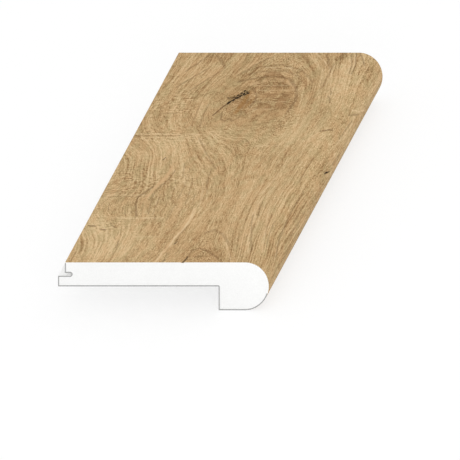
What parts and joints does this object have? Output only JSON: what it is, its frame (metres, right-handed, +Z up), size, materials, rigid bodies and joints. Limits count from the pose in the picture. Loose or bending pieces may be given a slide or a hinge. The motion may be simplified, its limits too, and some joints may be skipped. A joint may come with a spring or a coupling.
{
  "type": "flush stair nosing",
  "caption": "Flush stair nosing: a flat flange with a grooved back edge and a thick half-round nose, with an oak face, that finishes the front edge of a step level with the floor.",
  "frame": {"origin": "inside corner where the flange's underside meets the back of the nose, at the middle of the length", "axes": "+X out of the step towards the tip of the nose, +Y along the step, +Z up"},
  "size_m": [0.1142, 0.13, 0.0259],
  "materials": {
    "oak_faced_profile": "matte"
  },
  "bodies": {
    "root": {"stair_nosing": "oak_faced_profile"}
  },
  "joints": []
}
